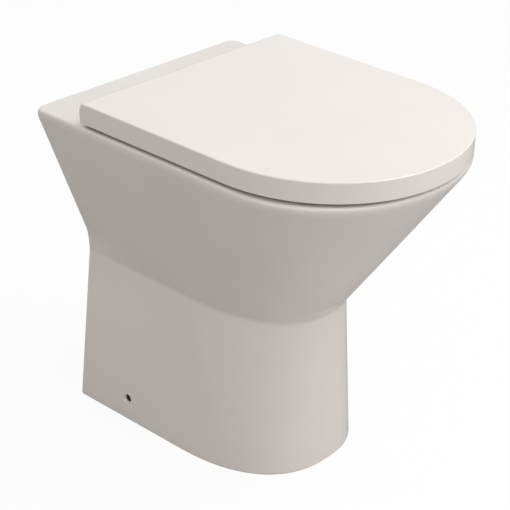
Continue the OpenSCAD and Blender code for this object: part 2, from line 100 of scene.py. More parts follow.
def facing(way, half, reach, power):
    """Where on the power ellipse the outline faces a way, 0 being sideways and 90 forwards."""
    if way >= 90:
        return math.pi / 2
    return math.atan((reach / half * math.tan(math.radians(way))) ** (power / (2 * power - 2)))


def d_ring(z, half, back, straight, front, power, corner):
    """Level outline of a D, from the left round the front and back along the wall."""
    ring = []
    for i in range(FRONT_STEPS + 1):
        way = 180 * i / FRONT_STEPS
        side = -1 if way < 90 else 1
        t = facing(min(way, 180 - way), half, front - straight, power)
        x = side * half * math.cos(t) ** (2 / power)
        ring.append((x, wall(straight) - (front - straight) * math.sin(t) ** (2 / power), z))
    for start, side in ((0, 1), (90, -1)):
        for i in range(CORNER_STEPS + 1):
            t = math.radians(start + 90 * i / CORNER_STEPS)
            x = side * (half - corner) + corner * math.cos(t)
            ring.append((x, wall(back) - corner + corner * math.sin(t), z))
    return ring


def egg_ring(z, half, back, middle, front):
    """Level egg-shaped outline, widest at a distance from the wall."""
    ring = []
    for i in range(EGG_STEPS):
        t = 2 * math.pi * i / EGG_STEPS
        c, s = math.cos(t), math.sin(t)
        reach = middle - back if s > 0 else front - middle
        x = half * math.copysign(abs(c) ** (2 / EGG_POWER), c)
        ring.append((x, wall(middle) + reach * math.copysign(abs(s) ** (2 / EGG_POWER), s), z))
    return ring


def pipe_ring(distance, z, rise, r):
    """Round ring about a point of the middle plane, facing a way that rises towards the wall."""
    rise = math.radians(rise)
    ring = []
    for i in range(PIPE_STEPS):
        t = 2 * math.pi * i / PIPE_STEPS
        x, off = r * math.cos(t), r * math.sin(t)
        ring.append((x, wall(distance) + off * math.sin(rise), z - off * math.cos(rise)))
    return ring


def aimed(place, way, front="Z"):
    """Matrix that turns a thing's front towards a way, and moves it to a place."""
    return Matrix.Translation(place) @ Vector(way).to_track_quat(front, "Y").to_matrix().to_4x4()


def add_loft(bm, rings):
    """Adds a closed solid, extruding an edge loop from ring to ring and filling both ends."""
    loop = bmesh.ops.create_circle(bm, segments=len(rings[0]), radius=1)["verts"]
    edges = list(dict.fromkeys(e for v in loop for e in v.link_edges))  # each once, in order
    ends = [edges]
    for n, ring in enumerate(rings):
        if n:
            out = bmesh.ops.extrude_edge_only(bm, edges=edges)["geom"]
            new = {v for v in out if isinstance(v, bmesh.types.BMVert)}
            loop = [
                next(e.other_vert(v) for e in v.link_edges if e.other_vert(v) in new) for v in loop]
            edges = list(dict.fromkeys(
                e for v in loop for e in v.link_edges if e.other_vert(v) in new))
        for v, place in zip(loop, ring):
            v.co = place
    ends.append(edges)
    for end in ends:
        bmesh.ops.edgeloop_fill(bm, edges=end)


def add_rod(bm, start, end, r, steps=48):
    """Adds a closed cylinder between two points."""
    start, end = Vector(start), Vector(end)
    bmesh.ops.create_cone(
        bm, cap_ends=True, segments=steps, radius1=r, radius2=r, depth=(end - start).length,
        matrix=aimed((start + end) / 2, end - start))


def add_block(bm, x, distances, z):
    """Adds a box between two places along X, two distances from the wall and two heights."""
    y = (wall(distances[1]), wall(distances[0]))
    for v in bmesh.ops.create_cube(bm, size=1)["verts"]:
        v.co = (x[v.co.x > 0], y[v.co.y > 0], z[v.co.z > 0])


def add_solid(bm, own):
    """Adds a closed solid that was made in a bmesh of its own, with its faces outwards."""
    bmesh.ops.recalc_face_normals(own, faces=own.faces)
    solid = bpy.data.meshes.new("solid")
    own.to_mesh(solid)
    own.free()
    bm.from_mesh(solid)
    bpy.data.meshes.remove(solid)


def softened(corners, closed=True):
    """Outline through corners given as (a, b, how far the rounding reaches)."""
    outline = []
    for n, (a, b, reach) in enumerate(corners):
        here = Vector((a, b))
        if reach == 0 or (not closed and n in (0, len(corners) - 1)):
            outline.append(tuple(here))
            continue
        last, following = corners[n - 1][:2], corners[(n + 1) % len(corners)][:2]
        before = here + (Vector(last) - here).normalized() * reach
        after = here + (Vector(following) - here).normalized() * reach
        for k in range(SOFT_STEPS + 1):
            outline.append(tuple(curved(before, here, after, k / SOFT_STEPS)))
    return outline


def add_turned(bm, corners, base, axis, steps=64):
    """Adds a round solid, whose section is spun about an axis through a base point. The section's
    corners are given as (radius, distance along the axis, how far the rounding reaches)."""
    closed = corners[0][0] > 0
    own = bmesh.new()
    verts = [own.verts.new((r, 0, along)) for r, along in softened(corners, closed)]
    edges = [own.edges.new(pair) for pair in zip(verts, verts[1:] + verts[:closed])]
    bmesh.ops.spin(
        own, geom=verts + edges, cent=(0, 0, 0), axis=(0, 0, 1), angle=2 * math.pi, steps=steps,
        use_merge=True)
    bmesh.ops.remove_doubles(own, verts=own.verts, dist=0.0005)
    bmesh.ops.transform(own, verts=own.verts, matrix=aimed(base, axis))
    add_solid(bm, own)


def piece_of(bm, name):
    """Turns a finished bmesh into an object, in metres, with its faces outwards."""
    bmesh.ops.recalc_face_normals(bm, faces=bm.faces)
    mesh = bpy.data.meshes.new(name)
    bm.to_mesh(mesh)
    bm.free()
    mesh.transform(Matrix.Scale(MM, 4))
    piece = bpy.data.objects.new(name, mesh)
    bpy.context.scene.collection.objects.link(piece)
    return piece


def shaped(name, build, *values):
    """Object of the solid that a building step adds to an empty bmesh."""
    bm = bmesh.new()
    build(bm, *values)
    return piece_of(bm, name)


def worked(base, how, *tools):
    """Joins solids to a piece with UNION, or cuts them from it with DIFFERENCE."""
    for tool in tools:
        step = base.modifiers.new(how.lower(), "BOOLEAN")
        step.operation, step.object = how, tool
        step.solver, step.material_mode = "MANIFOLD", "TRANSFER"
    evaluated = base.evaluated_get(bpy.context.evaluated_depsgraph_get())
    result = bpy.data.meshes.new_from_object(evaluated)
    base.modifiers.clear()
    base.data = result
    for tool in tools:
        bpy.data.objects.remove(tool)


class Wire:
    """One output of a material's node. Arithmetic on wires adds Math nodes."""

    def __init__(self, tree, socket):
        self.tree, self.socket = tree, socket

    def node(self, kind, settings, inputs, output=0):
        """Adds a node: its settings first, then what its sockets hold or link to."""
        made = self.tree.nodes.new("ShaderNode" + kind)
        for name, value in settings.items():
            setattr(made, name, value)
        for name, value in inputs.items():
            socket = made.inputs[name]
            if isinstance(value, Wire):
                self.tree.links.new(value.socket, socket)
            elif isinstance(value, tuple) and socket.type == "RGBA":
                socket.default_value = (*value, 1)
            else:
                socket.default_value = value
        return Wire(self.tree, made.outputs[output])

    def math(self, operation, a, b):
        return self.node("Math", {"operation": operation}, {0: a, 1: b})

    def __add__(self, other):
        return self.math("ADD", self, other)

    def __radd__(self, other):
        return self.math("ADD", other, self)

    def __sub__(self, other):
        return self.math("SUBTRACT", self, other)

    def __rsub__(self, other):
        return self.math("SUBTRACT", other, self)

    def __mul__(self, other):
        return self.math("MULTIPLY", self, other)

    def __rmul__(self, other):
        return self.math("MULTIPLY", other, self)

    def noise(self, scale, detail, stretch=None):
        """Cloudy pattern, a number of features to the metre, stretched along the axes."""
        place = self.node("Mapping", {}, {"Vector": self, "Scale": stretch}) if stretch else self
        return self.node("TexNoise", {}, {"Vector": place, "Scale": scale, "Detail": detail})

    def spread(self, low, high):
        """This value, stretched so that low becomes 0 and high becomes 1."""
        return self.node(
            "MapRange", {"interpolation_type": "SMOOTHSTEP"},
            {"Value": self, "From Min": low, "From Max": high})

    def height(self):
        return self.node("SeparateXYZ", {}, {"Vector": self}, "Z")

    def colours(self, first, second):
        """Blend of two colours, by this value."""
        return self.node("Mix", {"data_type": "RGBA"}, {0: self, 6: first, 7: second}, 2)

    def bump(self, depth):
        """Raises the surface where this value is high, by a depth in metres."""
        return self.node("Bump", {}, {"Height": self, "Distance": depth, "Strength": 1.0})


def material(name, varying, **fixed):
    """Material whose sockets hold a fixed value, or follow a pattern in the object's own space."""
    made = bpy.data.materials.new(name)
    made.use_nodes = True
    tree = made.node_tree
    shader = tree.nodes["Principled BSDF"]
    here = Wire(tree, tree.nodes.new("ShaderNodeTexCoord").outputs["Object"])
    for socket, value in fixed.items():
        shader.inputs[socket.replace("_", " ")].default_value = value
    for socket, value in varying(here).items():
        tree.links.new(value.socket, shader.inputs[socket])
    return made


def glaze(here):
    cloud = here.noise(7, 3).spread(0.3, 0.7)
    worn_foot = 1 - here.height().spread(0.0006, 0.0024)
    tone = cloud.colours((0.826, 0.783, 0.749), (0.856, 0.815, 0.783))
    mist = here.noise(38, 4).spread(0.35, 0.75)
    peel = here.noise(230, 1) * 0.35 + here.noise(16, 2) * 6.0
    return {
        "Base Color": worn_foot.colours(tone, (0.72, 0.66, 0.58)),
        "Roughness": 0.13 + mist * 0.06 + worn_foot * 0.45,
        "Coat Weight": (1 - worn_foot) * (0.35 + cloud * 0.15),
        "Normal": peel.bump(0.00012),
    }


def biscuit(here):
    grit = here.noise(900, 3)
    cloud = here.noise(22, 4).spread(0.3, 0.7)
    return {
        "Base Color": cloud.colours((0.70, 0.655, 0.60), (0.79, 0.755, 0.71)),
        "Roughness": 0.62 + grit * 0.25,
        "Normal": (grit + here.noise(60, 3) * 2.0).bump(0.0003),
    }


glazed_china = material("glazed_china", glaze, IOR=1.52, Coat_Roughness=0.04, Coat_IOR=1.5)
raw_china = material("raw_china", biscuit, IOR=1.5)

WAIST, DECK_UNDER, RIM_SIDE, DECK = 221, 432, 442, 450  # RIM_SIDE is where the flare is full width
FOOT_HALF, WAIST_HALF, RIM_HALF = 119.5, 96.5, 180
PEDESTAL_STRAIGHT, RIM_STRAIGHT = 190, 345
FOOT_FRONT, WAIST_FRONT, RIM_FRONT = 353, 346, 501
PEDESTAL_POWER, RIM_POWER = 2.45, 2.0
FOOT_CORNER, RIM_CORNER = 4, 12
PAN_SIZES = (  # at the foot, the waist and the rim
    (FOOT_HALF, WAIST_HALF, RIM_HALF),
    (PEDESTAL_STRAIGHT, PEDESTAL_STRAIGHT, RIM_STRAIGHT),
    (FOOT_FRONT, WAIST_FRONT, RIM_FRONT),
    (PEDESTAL_POWER, PEDESTAL_POWER, RIM_POWER),
    (FOOT_CORNER, FOOT_CORNER, RIM_CORNER),
)
FOOT_EDGE, WAIST_SOFTNESS = 3, 5
ROLL_LOW, ROLL_IN, ROLL_BACK = 435, 5, 3  # where the rim starts to roll over, how far in it ends
LATE_FLARE, FIRST_RISE = 249, 0.2  # near the wall the sides rise almost straight before they flare
LATE_SOFTNESS, LATE_REACH = 10, 130
ROLL_STEPS, SIDE_STEPS, SOFT_STEPS = 12, 13, 4
CHINA, FLARE_CHINA, BOWL_CHINA, TRAP_CHINA = 12, 15, 10, 9  # how thick the walls are
BOWL = [  # height, half width, back, widest place and front of the bowl's inside
    (55, 16, 262, 278, 292),
    (66, 30, 256, 278, 300),
    (85, 38, 250, 278, 306),
    (115, 46, 243, 276, 312),
    (168, 60, 222, 272, 318),
    (221, 74, 200, 268, 322),
    (300, 104, 172, 276, 378),
    (380, 124, 156, 290, 432),
    (425, 131, 150, 300, 459),
    (444, 134, 148, 300, 464),
]
MOUTH_EDGE = 6
TRAP_START, TRAP_LOW, TRAP_RADIUS = 262, 85, 30
TRAP_BEND, TRAP_TURN, TRAP_RISE, TRAP_STEPS = 45, 80, 39, 12
FALL_STEPS, FALL_REACH, FALL_END = 6, 31, 39  # from the weir down to the spigot
SPIGOT_START, SPIGOT_END, SPIGOT_Z, SPIGOT_RADIUS, SPIGOT_BORE = 135.6, 70, 180, 51, 43.5
HORN_START, HORN_Z, HORN_RADIUS, HORN_BORE = 112, 385, 35.5, 21
WEB = (-6, 6)
FIXING_X, FIXING_Y = 77.5, wall(108)
SCREW_Y, SCREW_Z = wall(93), 31


def bent(over, softness):
    """A rise that starts softly where over is 0."""
    return max(over, 0) if abs(over) > softness else (over + softness) ** 2 / (4 * softness)


def pan_outline(z):
    """Half width, end of the straight sides, front, power and corner of the pan at a height."""
    over = z - WAIST
    turned = bent(over, WAIST_SOFTNESS)
    sizes = []
    for foot, waist, rim in PAN_SIZES:
        lower, upper = (waist - foot) / WAIST, (rim - waist) / (RIM_SIDE - WAIST)
        sizes.append(waist + lower * over + (upper - lower) * turned)
    return sizes


def pan_ring(z, inset=0, back=0):
    half, straight, front, power, corner = pan_outline(z)
    return d_ring(z, half - inset, back, straight, front - inset, power, corner)


def drawn_in(ring):
    """Adds points along a ring's sides, and narrows it near the wall, where the flare is late."""
    z = ring[0][2]
    narrowing = (WAIST_HALF - FOOT_HALF) / WAIST
    left_to_rise = RIM_HALF - WAIST_HALF - (narrowing + FIRST_RISE) * (RIM_SIDE - WAIST)
    last_rise = left_to_rise / (RIM_SIDE - LATE_FLARE)
    at_wall = (
        WAIST_HALF + narrowing * (z - WAIST) + FIRST_RISE * bent(z - WAIST, WAIST_SOFTNESS)
        + last_rise * bent(z - LATE_FLARE, LATE_SOFTNESS))
    pull = pan_outline(z)[0] - at_wall if FOOT_EDGE < z < ROLL_LOW else 0
    points = []
    for n, (x, y, _) in enumerate(ring):
        points.append((x, y))
        if n in (FRONT_STEPS, len(ring) - 1):
            next_y = ring[(n + 1) % len(ring)][1]
            points += [(x, mix(y, next_y, k / SIDE_STEPS)) for k in range(1, SIDE_STEPS)]
    drawn = []
    for x, y in points:
        near = max(1 - (DEPTH / 2 - y) / LATE_REACH, 0) ** 2
        drawn.append((x - math.copysign(pull * near, x), y, z))
    return drawn


def pan_outside(bm):
    rings = [pan_ring(z, inset) for z, inset in quarter(FOOT_EDGE, 4)]
    rings += [pan_ring(z) for z in (60, 120, 180, 208)]
    rings += [pan_ring(WAIST - WAIST_SOFTNESS + n) for n in range(1, 2 * WAIST_SOFTNESS)]
    rings += [pan_ring(z) for z in (233, 239, 243, 247, 251, 255, 260)]
    rings += [pan_ring(z) for z in (275, 290, 320, 345, 375, 400, 425)]
    leaving, turning = pan_outline(ROLL_LOW), pan_outline(DECK)
    level = (RIM_HALF - ROLL_IN, RIM_STRAIGHT, RIM_FRONT - ROLL_IN, RIM_POWER, RIM_CORNER)
    for n in range(ROLL_STEPS + 1):
        t = n / ROLL_STEPS
        half, straight, front, power, corner = (
            curved(a, b, c, t) for a, b, c in zip(leaving, turning, level))
        z = DECK - (DECK - ROLL_LOW) * (1 - t) ** 2
        rings.append(d_ring(z, half, ROLL_BACK * t ** 2, straight, front, power, corner))
    add_loft(bm, [drawn_in(ring) for ring in rings])


def pan_hollow(bm):
    """The space inside the walls, open below and, past the wall's face, at the back."""
    past = -3
    pedestal = (PEDESTAL_POWER, FOOT_CORNER)
    add_loft(bm, [
        d_ring(-1, FOOT_HALF - CHINA, past, PEDESTAL_STRAIGHT, FOOT_FRONT - CHINA, *pedestal),
        d_ring(WAIST, WAIST_HALF - CHINA, past, PEDESTAL_STRAIGHT, WAIST_FRONT - CHINA, *pedestal),
        d_ring(LATE_FLARE + 3, 99 - CHINA, past, 211, 367 - FLARE_CHINA, 2.4, FOOT_CORNER),
        pan_ring(DECK_UNDER, FLARE_CHINA, past),
    ])


def bowl_stage(z):
    """Sizes of the bowl's inside at a height, on smooth curves through the stages."""
    n = max(i for i in range(len(BOWL) - 1) if BOWL[i][0] <= z or i == 0)
    low, high = BOWL[n], BOWL[n + 1]
    before, after = BOWL[max(n - 1, 0)], BOWL[min(n + 2, len(BOWL) - 1)]
    span = high[0] - low[0]
    t = (z - low[0]) / span
    sizes = []
    for k in range(1, 5):
        first = last = slope = (high[k] - low[k]) / span
        if n:
            first = (slope + (low[k] - before[k]) / (low[0] - before[0])) / 2
        if n + 2 < len(BOWL):
            last = (slope + (after[k] - high[k]) / (after[0] - high[0])) / 2
        sizes.append(
            low[k] * (2 * t ** 3 - 3 * t ** 2 + 1) + high[k] * (3 * t ** 2 - 2 * t ** 3)
            + span * (first * (t ** 3 - 2 * t ** 2 + t) + last * (t ** 3 - t ** 2)))
    return sizes


def bowl(bm, grow):
    """The bowl's inside up to its rounded mouth, or grown by the china's thickness, its outside."""
    low, top = BOWL[0][0], BOWL[-1][0]
    heights = [low, 58, 62, 67, 73, 80, 90, 102, 115, *range(130, 425, 14), 425, 435, top]
    rings = []
    if grow:
        heights[-1] = DECK - grow
        half, back, middle, front = bowl_stage(low)
        out = grow / 2
        rings.append(egg_ring(low - grow, half + out, back - out, middle, front + out))
    for z in heights:
        half, back, middle, front = bowl_stage(z)
        rings.append(egg_ring(z, half + grow, back - grow, middle, front + grow))
    if not grow:
        half, back, middle, front = BOWL[-1][1:]
        edge = [(DECK - left, gone) for gone, left in quarter(MOUTH_EDGE, 6)[1:]]
        for z, out in edge + [(DECK + 1, MOUTH_EDGE)]:
            rings.append(egg_ring(z, half + out, back - out, middle, front + out))
    add_loft(bm, rings)


def trap(bm, grow, start):
    """The water's way out of the sump, up and over the weir and down to the spigot."""
    r, bend, steps = TRAP_RADIUS + grow, TRAP_BEND, TRAP_STEPS
    sine, cosine = math.sin(math.radians(TRAP_TURN)), math.cos(math.radians(TRAP_TURN))
    weir = TRAP_START - 2 * bend * sine - TRAP_RISE * cosine
    crest = TRAP_LOW + 2 * bend * (1 - cosine) + TRAP_RISE * sine
    end = (SPIGOT_RADIUS if grow else SPIGOT_BORE) - 0.5
    rings = [pipe_ring(start, TRAP_LOW, 0, r)]
    turns = [TRAP_TURN * n / steps for n in range(steps + 1)]
    for rise in turns:
        along, over = bend * math.sin(math.radians(rise)), bend * (1 - math.cos(math.radians(rise)))
        rings.append(pipe_ring(TRAP_START - along, TRAP_LOW + over, rise, r))
    for rise in reversed(turns):
        along, over = bend * math.sin(math.radians(rise)), bend * (1 - math.cos(math.radians(rise)))
        rings.append(pipe_ring(weir + along, crest - over, rise, r))
    for n in range(1, FALL_STEPS + 1):
        share = n / FALL_STEPS
        ease = share * share * (3 - 2 * share)
        z = mix(crest, SPIGOT_Z, ease)
        rings.append(pipe_ring(weir - FALL_REACH * share, z, 0, mix(r, end, ease)))
    rings.append(pipe_ring(weir - FALL_END, SPIGOT_Z, 0, end))
    add_loft(bm, rings)


def add_pipe(bm, start, end, z, r, steps=72):
    """Adds a cylinder in the middle plane, between two distances from the wall."""
    add_rod(bm, (0, wall(start), z), (0, wall(end), z), r, steps)


def on_stud(side, z):
    """Point on the axis of a seat fixing."""
    return (side * FIXING_X, FIXING_Y, z)


def on_screw(side, x):
    """Point on the axis of a side screw."""
    return (side * x, SCREW_Y, SCREW_Z)


pan = shaped("pan_casting", pan_outside)
pan.data.materials.append(glazed_china)
hollow = shaped("hollow", pan_hollow)
inner = [
    shaped("bowl_shell", bowl, BOWL_CHINA),
    shaped("trap_shell", trap, TRAP_CHINA, TRAP_START + 1),
    shaped("spigot", add_pipe, SPIGOT_START, SPIGOT_END, SPIGOT_Z, SPIGOT_RADIUS),
    shaped("boss", add_pipe, 158, HORN_START, HORN_Z, HORN_RADIUS),
    shaped("web", add_block, WEB, (HORN_START, 148), (HORN_Z, DECK_UNDER + 1)),
]
for solid in [hollow] + inner:
    solid.data.materials.append(raw_china)
worked(pan, "DIFFERENCE", hollow)
worked(pan, "UNION", *inner)
ways = [
    shaped("bowl_space", bowl, 0),
    shaped("trap_space", trap, 0, 276),
    shaped("spigot_space", add_pipe, SPIGOT_START, SPIGOT_END - 1, SPIGOT_Z, SPIGOT_BORE),
    shaped("flush_way", add_pipe, 168, HORN_START - 1, HORN_Z, HORN_BORE, 48),
]
side_hole = [(0, 86, 0), (5.5, 86, 0), (5.5, 113.6, 0), (6, 114.8, 0), (7.8, 117, 0), (0, 117, 0)]
for side, _ in SIDES:
    below, above = on_stud(side, DECK_UNDER - 2), on_stud(side, DECK + 2)
    ways.append(shaped("deck_hole", add_rod, below, above, 7))
    ways.append(shaped("side_hole", add_turned, side_hole, on_screw(side, 0), (side, 0, 0), 48))
for solid in ways:
    solid.data.materials.append(glazed_china)
worked(pan, "DIFFERENCE", *ways)


def fitted(piece, body, node, finish=None):
    """Gives a piece its material, its smooth faces, what it moves with and what it stands for."""
    if finish:
        piece.data.materials.clear()
        piece.data.materials.append(finish)
        for face in piece.data.polygons:
            face.material_index = 0
    piece.data.shade_smooth()
    piece.data.set_sharp_from_angle(angle=math.radians(35))
    flat = piece.modifiers.new("flat faces", "WEIGHTED_NORMAL")
    flat.keep_sharp = True
    flat.weight = 60
    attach(piece, body)
    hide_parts(node)


fitted(pan, "pan", "pan")


# ---- Flush horn ----
# The round horn that takes the flush pipe, with the web that carries it.
# It is cast apart from the same china, stuck to the bowl's back before firing, and glazed with it.
HORN_LENGTH, SEAL_RADIUS = 67, 27.5
TO_THE_WALL = (0, 1, 0)
horn_foot = (0, wall(HORN_START), HORN_Z)
horn = shaped(
    "flush_horn_casting", add_turned,
    [(0, 0, 0), (HORN_RADIUS, 0, 0.5), (HORN_RADIUS, HORN_LENGTH, 3), (0, HORN_LENGTH, 0)],
    horn_foot, TO_THE_WALL, 72)
worked(horn, "UNION", shaped("horn_web", add_block, WEB, (46.5, HORN_START), (HORN_Z, DECK_UNDER)))
horn_bore = [
    (0, -1, 0), (HORN_BORE, -1, 0), (HORN_BORE, 17, 1), (SEAL_RADIUS, 17, 1),
    (SEAL_RADIUS, HORN_LENGTH - 1, 1.5), (SEAL_RADIUS + 2, HORN_LENGTH + 1, 0),
    (0, HORN_LENGTH + 1, 0)]
worked(horn, "DIFFERENCE", shaped("horn_bore", add_turned, horn_bore, horn_foot, TO_THE_WALL, 72))
fitted(horn, "pan", "flush_horn", glazed_china)


# ---- Floor brackets ----
# Two ribbed angles of moulded nylon, screwed to the floor before the pan is slid over them.
# Each has a boss that takes the screw from the pan's side.
def nylon(here):
    cloud = here.noise(30, 3).spread(0.3, 0.7)
    spark = here.noise(1600, 2)
    return {
        "Base Color": cloud.colours((0.60, 0.59, 0.565), (0.67, 0.66, 0.635)),
        "Roughness": 0.38 + spark * 0.16 + cloud * 0.06,
        "Normal": (spark + here.noise(90, 2) * 2.5).bump(0.00006),
    }


moulded_plastic = material("moulded_plastic", nylon, IOR=1.53)


def rounded_copy(node, name, soft):
    """Piece made from a solid, its triangles joined into flat faces and its sharp edges rounded."""
    bm = bmesh.new()
    bm.from_mesh(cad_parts[node].data)
    bmesh.ops.scale(bm, vec=(1 / MM, 1 / MM, 1 / MM), verts=bm.verts)
    bmesh.ops.remove_doubles(bm, verts=bm.verts, dist=0.002)
    bmesh.ops.dissolve_limit(bm, angle_limit=math.radians(0.5), verts=bm.verts, edges=bm.edges)
    edges = [e for e in bm.edges if e.is_manifold and e.calc_face_angle() > math.radians(40)]
    bmesh.ops.bevel(
        bm, geom=edges, offset=soft, offset_type="OFFSET", segments=3, profile=0.5,
        affect="EDGES", material=-1, clamp_overlap=True)
    return piece_of(bm, name)


for _, name in SIDES:
    bracket = rounded_copy("floor_bracket_" + name, "bracket_moulding_" + name, 0.7)
    fitted(bracket, "pan", "floor_bracket_" + name, moulded_plastic)


# ---- Side screws and their sleeves ----
# A stainless screw with a hexagon socket runs from a recess in the pan's side into each bracket.
# A dark plastic sleeve lines the hole, so that the screw can't crack the china.
def steel(here):
    lines = here.noise(260, 3, (0.12, 1, 1))
    cloud = here.noise(45, 3).spread(0.3, 0.7)
    return {
        "Base Color": cloud.colours((0.50, 0.50, 0.495), (0.60, 0.60, 0.59)),
        "Roughness": 0.24 + lines * 0.16 + cloud * 0.05,
        "Normal": lines.bump(0.00002),
    }


def dark_nylon(here):
    cloud = here.noise(40, 3).spread(0.3, 0.7)
    spark = here.noise(1600, 2)
    return {
        "Base Color": cloud.colours((0.050, 0.048, 0.045), (0.075, 0.072, 0.068)),
        "Roughness": 0.42 + spark * 0.16,
        "Normal": spark.bump(0.00006),
    }


stainless_steel = material("stainless_steel", steel, Metallic=1.0)
liner_plastic = material("liner_plastic", dark_nylon, IOR=1.53)
THREAD_STEPS, THREAD_POINTS, THREAD_DEPTH = 10, 20, 0.6  # to a turn, round the rod, of the pitch


def add_thread(bm, start, end, r, pitch, place):
    """Adds a screw thread: an off-centre ring that turns once a pitch as it is extruded."""
    count = round((end - start) / pitch * THREAD_STEPS)
    rings = []
    for n in range(count + 1):
        along = mix(start, end, n / count)
        ring = []
        for k in range(THREAD_POINTS):
            turn = (k / THREAD_POINTS - along / pitch) % 1
            reach = r - THREAD_DEPTH * pitch * (1 - abs(2 * turn - 1))
            a = 2 * math.pi * k / THREAD_POINTS
            ring.append(place(along, reach * math.cos(a), reach * math.sin(a)))
        rings.append(ring)
    add_loft(bm, rings)


screw_head = [(0, 0, 0), (4.1, 0, 0.3), (4.1, 4, 1.3), (0, 4, 0)]
liner_section = [
    (3.2, 0, 0), (5.5, 0, 0.4), (5.5, 9.4, 0.4), (4.4, 9.4, 0.3), (4.4, 2.4, 0), (3.2, 2.4, 0)]
for side, name in SIDES:
    screw = shaped(
        "screw_" + name, add_thread, 82, 92, 3, 1.4,
        lambda x, a, b: (side * x, SCREW_Y + a, SCREW_Z + b))
    worked(
        screw, "UNION",
        shaped("shank", add_rod, on_screw(side, 91.5), on_screw(side, 107), 2.9),
        shaped("head", add_turned, screw_head, on_screw(side, 106), (side, 0, 0), 48))
    worked(
        screw, "DIFFERENCE",
        shaped("socket", add_rod, on_screw(side, 107.5), on_screw(side, 112), 2, 6))
    fitted(screw, "pan", "side_screw_" + name, stainless_steel)
    liner = shaped(
        "liner_" + name, add_turned, liner_section, on_screw(side, 103.6), (side, 0, 0), 48)
    fitted(liner, "pan", "screw_sleeve_" + name, liner_plastic)


# ---- Seat fixings ----
# A threaded stud goes down through each deck hole.
# Below, a brass cone nut pulls up into a rubber sleeve, which grips the hole.
# On the deck a chromed plate and post carry the lift-off hinge.
def brass(here):
    rings = here.noise(700, 2, (0.05, 0.05, 1))
    cloud = here.noise(60, 3).spread(0.3, 0.7)
    return {
        "Base Color": cloud.colours((0.62, 0.44, 0.19), (0.74, 0.55, 0.27)),
        "Roughness": 0.26 + rings * 0.16 + cloud * 0.08,
        "Normal": rings.bump(0.00003),
    }


def plated(here):
    smudge = here.noise(55, 4).spread(0.45, 0.75)
    return {
        "Base Color": smudge.colours((0.62, 0.625, 0.63), (0.57, 0.57, 0.575)),
        "Roughness": 0.07 + smudge * 0.14,
        "Normal": here.noise(150, 1).bump(0.00001),
    }


def black_rubber(here):
    bloom = here.noise(70, 4).spread(0.4, 0.75)
    return {
        "Base Color": bloom.colours((0.022, 0.022, 0.023), (0.052, 0.051, 0.049)),
        "Roughness": 0.55 + bloom * 0.2,
        "Normal": here.noise(500, 2).bump(0.00005),
    }


turned_brass = material("turned_brass", brass, Metallic=1.0)
bright_chrome = material("bright_chrome", plated, Metallic=1.0)
sleeve_rubber = material("sleeve_rubber", black_rubber, IOR=1.5)

PLATE_TOP, POST_TOP = 452, 464
UPWARDS = (0, 0, 1)
nut_section = [(3, 418, 0.2), (6.9, 418, 0.4), (4.5, 427, 0.3), (3, 427, 0.2)]
sleeve_section = [
    (3, 427, 0.3), (6.6, 427, 0.6), (6.9, 429, 0.5), (6.9, 431.5, 0.3), (6.5, 432, 0.2),
    (6.5, 433, 0.2), (6.9, 433.5, 0.3), (6.9, DECK, 0.2), (3, DECK, 0.2)]
plate_section = [(3, DECK, 0.1), (16, DECK, 0.2), (16, PLATE_TOP, 1.2), (3, PLATE_TOP, 0.1)]
post_section = [
    (0, PLATE_TOP, 0), (6, PLATE_TOP, 0.1), (6, POST_TOP - 1, 0.4), (5, POST_TOP, 0.4),
    (0, POST_TOP, 0)]
for side, name in SIDES:
    foot = on_stud(side, 0)
    stud = shaped(
        "stud_rod_" + name, add_thread, 416, 430, 3, 1,
        lambda z, a, b: (foot[0] + a, foot[1] + b, z))
    worked(stud, "UNION", shaped("shank", add_rod, on_stud(side, 429.5), on_stud(side, 459), 2.95))
    fitted(stud, "pan", "hinge_stud_" + name, stainless_steel)
    nut = shaped("cone_" + name, add_turned, nut_section, foot, UPWARDS)
    fitted(nut, "pan", "cone_nut_" + name, turned_brass)
    sleeve = shaped("sleeve_" + name, add_turned, sleeve_section, foot, UPWARDS)
    fitted(sleeve, "pan", "expanding_sleeve_" + name, sleeve_rubber)
    plate = shaped("plate_" + name, add_turned, plate_section, foot, UPWARDS, 96)
    fitted(plate, "pan", "hinge_plate_" + name, bright_chrome)
    post = shaped("post_" + name, add_turned, post_section, foot, UPWARDS)
    worked(
        post, "DIFFERENCE",
        shaped("stud_hole", add_rod, on_stud(side, PLATE_TOP - 1), on_stud(side, 460), 3))
    fitted(post, "pan", "hinge_post_" + name, bright_chrome)


# ---- Hinge blocks ----
# Satin plastic blocks that drop onto the posts.
# Each has a barrel for a damper, and a pocket at the back for its catch.
AXIS_BACK = 91.5
AXIS_Y, AXIS_Z = wall(AXIS_BACK), 467.5
POCKET_HALF, ARM_INSIDE, POCKET_HEIGHT = 9, 7.2, (453.6, 458.4)


def on_axis(side, x):
    """Point on the hinge axis."""
    return (side * x, AXIS_Y, AXIS_Z)


def arc(r, start, stop):
    """Arc about the hinge axis in the side view, with a point every 6 degrees."""
    turns = [math.radians(a) for a in range(start, stop + 1, 6)]
    return [(AXIS_Y + r * math.cos(a), AXIS_Z + r * math.sin(a)) for a in turns]


def add_prism(bm, x0, x1, outline, soft):
    """Adds an outline in the side view, extruded across, with the edges of its two ends rounded."""
    own = bmesh.new()
    face = own.faces.new([own.verts.new((x0, y, z)) for y, z in outline])
    across = bmesh.ops.extrude_face_region(own, geom=[face])["geom"]
    moved = [v for v in across if isinstance(v, bmesh.types.BMVert)]
    bmesh.ops.translate(own, vec=(x1 - x0, 0, 0), verts=moved)
    ends = [e for e in own.edges if abs(e.verts[0].co.x - e.verts[1].co.x) < 0.001]
    bmesh.ops.bevel(
        own, geom=ends, offset=soft, offset_type="OFFSET", segments=3, profile=0.5,
        affect="EDGES", material=-1, clamp_overlap=False)
    add_solid(bm, own)


